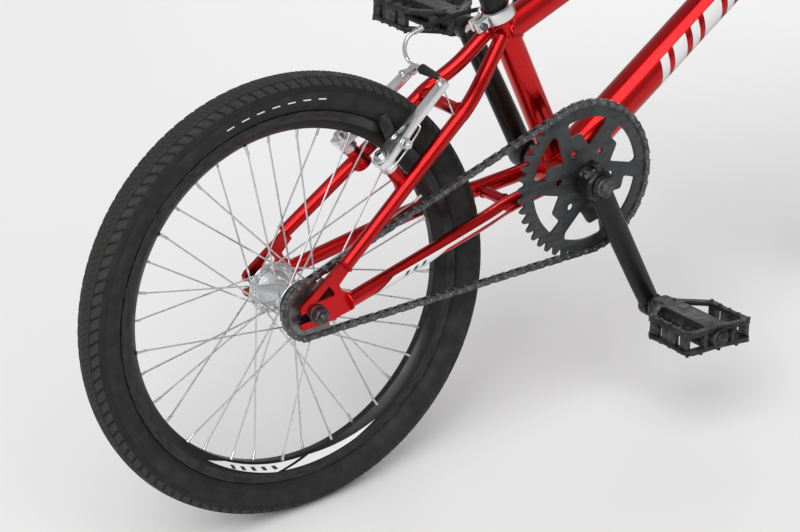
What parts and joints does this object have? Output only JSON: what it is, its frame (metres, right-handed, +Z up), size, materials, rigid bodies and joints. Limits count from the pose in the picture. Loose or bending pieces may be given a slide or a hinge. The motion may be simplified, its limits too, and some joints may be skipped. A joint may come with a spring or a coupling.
{
  "type": "bmx bike",
  "caption": "Single-speed racing BMX bicycle with a small open frame, high-rise bars, platform pedals and a rear rim brake.",
  "frame": {"origin": "on the ground, midway between the two tyres' contacts, in the bike's centre plane", "axes": "+X forward, +Y to the rider's left, +Z up"},
  "size_m": [1.5, 0.739, 0.9391],
  "materials": {
    "red_paint": "gloss candy",
    "black_paint": "satin",
    "black_metal": "satin anodised",
    "polished_metal": "polished",
    "bright_steel": "bright",
    "dark_steel": "oiled",
    "rail_steel": "satin",
    "black_plastic": "matte",
    "saddle_skin": "fine grain",
    "tyre_rubber": "matte",
    "grip_rubber": "matte",
    "cable_housing": "satin"
  },
  "bodies": {
    "frame": {"head_tube": "red_paint", "bottom_bracket_shell": "red_paint", "seat_tube": "red_paint", "top_tube": "red_paint", "down_tube": "red_paint", "dropout_left": "red_paint", "dropout_right": "red_paint", "chainstay_left": "red_paint", "chainstay_right": "red_paint", "seatstay_left": "red_paint", "seatstay_right": "red_paint", "seatstay_bridge": "red_paint", "chainstay_bridge": "red_paint", "seat_clamp": "polished_metal", "headset_cup_lower": "black_metal", "headset_cup_upper": "black_metal", "bottom_bracket_cartridge": "black_metal", "rear_axle": "dark_steel", "chain": "dark_steel", "brake_cable_rear": "cable_housing", "brake_cable_front": "cable_housing"},
    "seat": {"seat_post": "black_metal", "saddle_clamp": "black_metal", "saddle_rails": "rail_steel", "saddle_base": "black_plastic", "saddle_cover": "saddle_skin"},
    "rear_wheel": {"rear_tyre": "tyre_rubber", "rear_rim": "black_metal", "rear_hub": "polished_metal", "rear_spokes_left": "bright_steel", "rear_spokes_right": "bright_steel"},
    "freewheel": {"freewheel_cog": "dark_steel", "freewheel_body": "dark_steel"},
    "cranks": {"chainring": "black_metal", "crank_spindle": "dark_steel", "crank_arm_left": "black_paint", "crank_arm_right": "black_paint", "pedal_axle_left": "bright_steel", "pedal_axle_right": "bright_steel"},
    "right_pedal": {"pedal_right": "black_plastic"},
    "left_pedal": {"pedal_left": "black_plastic"},
    "left_brake_arm": {"brake_arm_left": "polished_metal", "brake_pad_left": "black_plastic", "brake_noodle": "bright_steel"},
    "right_brake_arm": {"brake_arm_right": "polished_metal", "brake_pad_right": "black_plastic"},
    "steering": {"fork": "black_paint", "stem": "black_metal", "stem_faceplate": "black_metal", "handlebar": "black_paint", "grip_left": "grip_rubber", "grip_right": "grip_rubber", "brake_lever_mount": "black_metal", "front_axle": "dark_steel"},
    "lever": {"brake_lever": "polished_metal"},
    "front_wheel": {"front_tyre": "tyre_rubber", "front_rim": "black_metal", "front_hub": "polished_metal", "front_spokes_left": "bright_steel", "front_spokes_right": "bright_steel"}
  },
  "joints": [
    {"name": "steering_turn", "type": "hinge", "parent": "frame", "child": "steering", "pos_m": [0.46924, 0, 0.24118], "axis": [-0.2756, 0, 0.9613], "range_deg": [-85, 85], "deforming": ["brake_cable_front"]},
    {"name": "front_wheel_spin", "type": "hinge", "parent": "steering", "child": "front_wheel", "pos_m": [0.5, 0, 0.25], "axis": [0, 1, 0], "continuous": true},
    {"name": "rear_wheel_spin", "type": "hinge", "parent": "frame", "child": "rear_wheel", "pos_m": [-0.5, 0, 0.25], "axis": [0, 1, 0], "continuous": true},
    {"name": "crank_spin", "type": "hinge", "parent": "frame", "child": "cranks", "pos_m": [-0.12894, 0, 0.288], "axis": [0, 1, 0], "continuous": true},
    {"name": "freewheel_spin", "type": "hinge", "parent": "frame", "child": "freewheel", "pos_m": [-0.5, 0, 0.25], "axis": [0, 1, 0], "continuous": true},
    {"name": "pedal_right_spin", "type": "hinge", "parent": "cranks", "child": "right_pedal", "pos_m": [-0.07024, -0.086, 0.12314], "axis": [0, 1, 0], "continuous": true},
    {"name": "pedal_left_spin", "type": "hinge", "parent": "cranks", "child": "left_pedal", "pos_m": [-0.18764, 0.086, 0.45286], "axis": [0, 1, 0], "continuous": true},
    {"name": "seat_height", "type": "slide", "parent": "frame", "child": "seat", "axis": [-0.3239, 0, 0.9461], "range_m": [-0.055, 0.05]},
    {"name": "brake_lever_pull", "type": "hinge", "parent": "steering", "child": "lever", "pos_m": [0.35665, -0.22367, 0.92194], "axis": [0.2756, 0, -0.9613], "range_deg": [0, 20], "stiffness_Nm_per_rad": 1, "springref_deg": -5.73},
    {"name": "brake_arm_left_close", "type": "hinge", "parent": "frame", "child": "left_brake_arm", "pos_m": [-0.3665, 0.04, 0.3548], "axis": [0.5434, 0, -0.8395], "range_deg": [0, 3.3], "stiffness_Nm_per_rad": 1, "springref_deg": -5.73, "deforming": ["brake_cable_rear"]},
    {"name": "brake_arm_right_close", "type": "hinge", "parent": "frame", "child": "right_brake_arm", "pos_m": [-0.3665, -0.04, 0.3548], "axis": [-0.5434, 0, 0.8395], "range_deg": [0, 3.3], "stiffness_Nm_per_rad": 1, "springref_deg": -5.73}
  ],
  "couplings": [
    {"joint": "freewheel_spin", "follows": "crank_spin", "ratio": 2.75},
    {"joint": "brake_arm_left_close", "follows": "brake_lever_pull", "ratio": 0.165},
    {"joint": "brake_arm_right_close", "follows": "brake_lever_pull", "ratio": 0.165}
  ]
}
